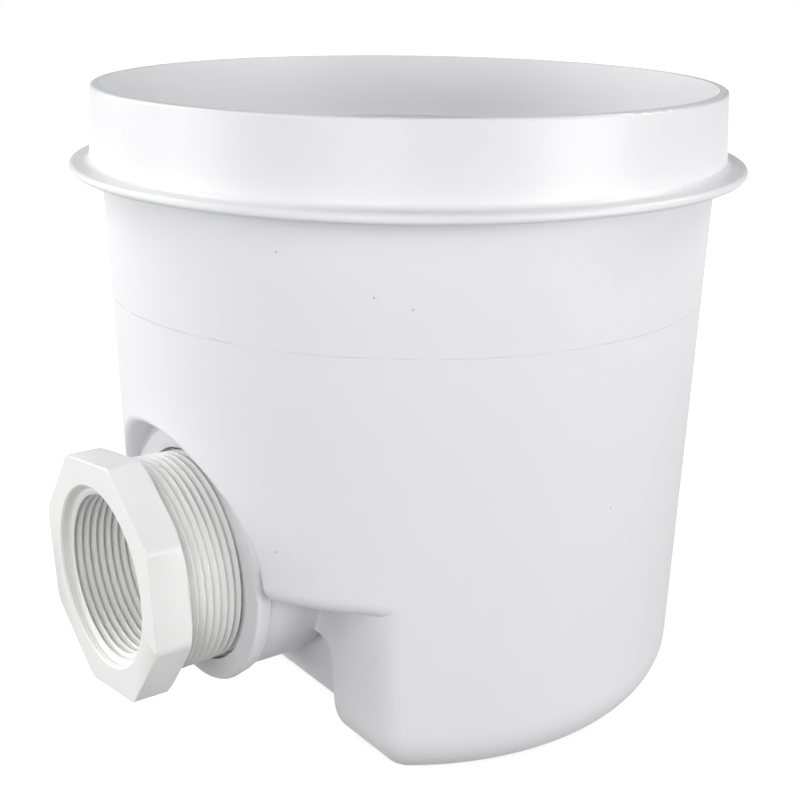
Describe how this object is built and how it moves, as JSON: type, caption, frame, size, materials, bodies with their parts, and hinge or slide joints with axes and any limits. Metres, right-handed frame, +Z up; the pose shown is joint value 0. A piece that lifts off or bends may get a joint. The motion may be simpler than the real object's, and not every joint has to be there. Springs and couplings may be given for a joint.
{
  "type": "pool main drain",
  "caption": "Deep round pool main drain sump with a plain collar, a flange ring and a recessed side outlet that holds a threaded reducing bushing.",
  "frame": {"origin": "On the sump's upright axis, at the flat underside that it stands on.", "axes": "Z runs up the sump's axis to the open collar. The side outlet points along minus X."},
  "size_m": [0.2007, 0.1938, 0.18],
  "materials": {
    "body_plastic": "clean",
    "bushing_plastic": "clean"
  },
  "bodies": {
    "root": {"sump_body": "body_plastic", "reducer_bushing": "bushing_plastic"}
  },
  "joints": []
}
